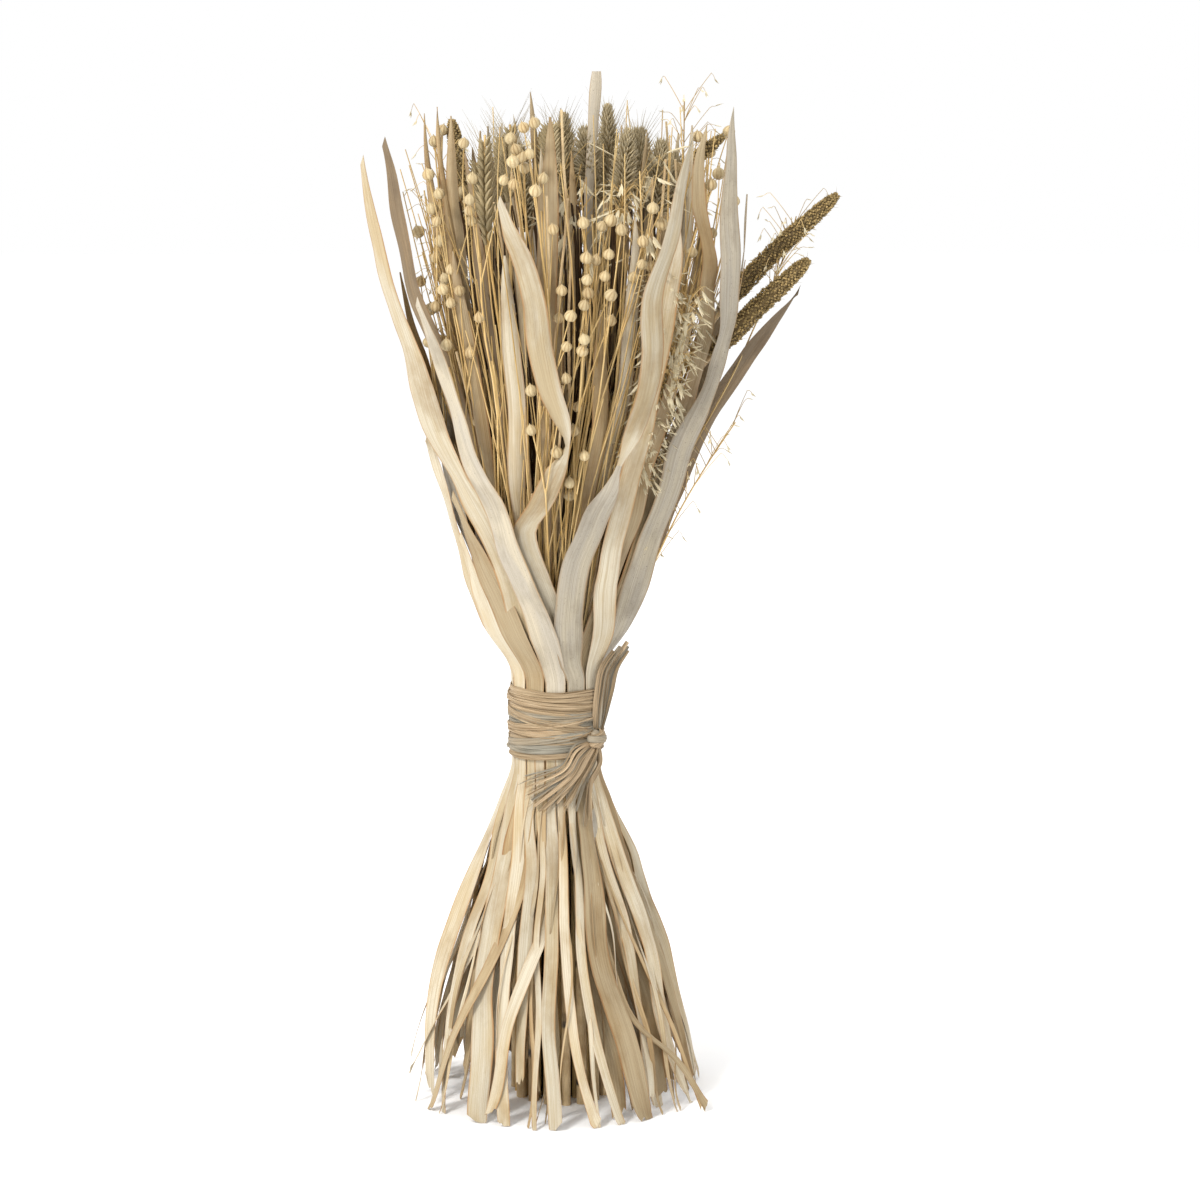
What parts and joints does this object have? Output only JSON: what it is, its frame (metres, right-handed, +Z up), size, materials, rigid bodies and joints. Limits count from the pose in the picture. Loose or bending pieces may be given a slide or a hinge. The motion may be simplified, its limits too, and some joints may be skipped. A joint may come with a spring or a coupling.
{
  "type": "dried millet bundle",
  "caption": "Standing bundle of dried millet, grasses, flax pods and long strap leaves, tied at the waist with raffia, used as a dried arrangement.",
  "frame": {"origin": "centre of the middle cane's cut foot, on the surface the bundle stands on", "axes": "+Z up along the bundle, -Y towards the front with the raffia knot at its right, +X to the right"},
  "size_m": [0.2864, 0.2128, 0.631],
  "materials": {
    "leaf_cream": "dry, pale, finely ribbed",
    "leaf_grey": "dry, weathered grey-white",
    "leaf_tan": "dry, warm tan",
    "leaf_brown": "dry, grey-brown",
    "cane": "dry straw stalk with dark joints",
    "millet": "dark spike of small golden seeds",
    "wheat": "grey-brown ear with awns",
    "bristle_grass": "bristly grey-brown head",
    "flax": "golden stems with pale seed pods",
    "oat": "pale pointed glumes",
    "stem": "fine golden stems",
    "raffia": "dry flat strands wound round"
  },
  "bodies": {
    "root": {"leaf_outer_01": "leaf_cream", "leaf_outer_02": "leaf_cream", "leaf_outer_03": "leaf_tan", "leaf_outer_04": "leaf_grey", "leaf_outer_05": "leaf_grey", "leaf_outer_06": "leaf_cream", "leaf_outer_07": "leaf_grey", "leaf_outer_08": "leaf_brown", "leaf_outer_09": "leaf_cream", "leaf_outer_10": "leaf_tan", "leaf_outer_11": "leaf_grey", "leaf_outer_12": "leaf_cream", "leaf_outer_13": "leaf_tan", "leaf_under_01": "leaf_brown", "leaf_under_02": "leaf_cream", "leaf_under_03": "leaf_cream", "leaf_under_04": "leaf_tan", "leaf_under_05": "leaf_tan", "leaf_under_06": "leaf_cream", "leaf_under_07": "leaf_grey", "leaf_under_08": "leaf_cream", "leaf_under_09": "leaf_brown", "leaf_under_10": "leaf_tan", "leaf_under_11": "leaf_grey", "cane_1": "cane", "cane_2": "cane", "cane_3": "cane", "cane_4": "cane", "cane_5": "cane", "cane_6": "cane", "millet_1": "millet", "millet_2": "millet", "millet_3": "millet", "millet_4": "millet", "millet_5": "millet", "wheat_1": "wheat", "wheat_2": "wheat", "wheat_3": "wheat", "wheat_4": "wheat", "bristle_grass_1": "bristle_grass", "bristle_grass_2": "bristle_grass", "bristle_grass_3": "bristle_grass", "bristle_grass_4": "bristle_grass", "bristle_grass_5": "bristle_grass", "leaf_inner_1": "leaf_tan", "leaf_inner_2": "leaf_tan", "leaf_inner_3": "leaf_grey", "leaf_inner_4": "leaf_cream", "raffia_tie": "raffia", "flax_1": "flax", "flax_2": "flax", "flax_3": "flax", "flax_4": "flax", "flax_5": "flax", "flax_6": "flax", "oat_1": "oat", "oat_2": "oat", "oat_3": "oat", "fine_grass_1": "stem", "fine_grass_2": "stem"}
  },
  "joints": []
}
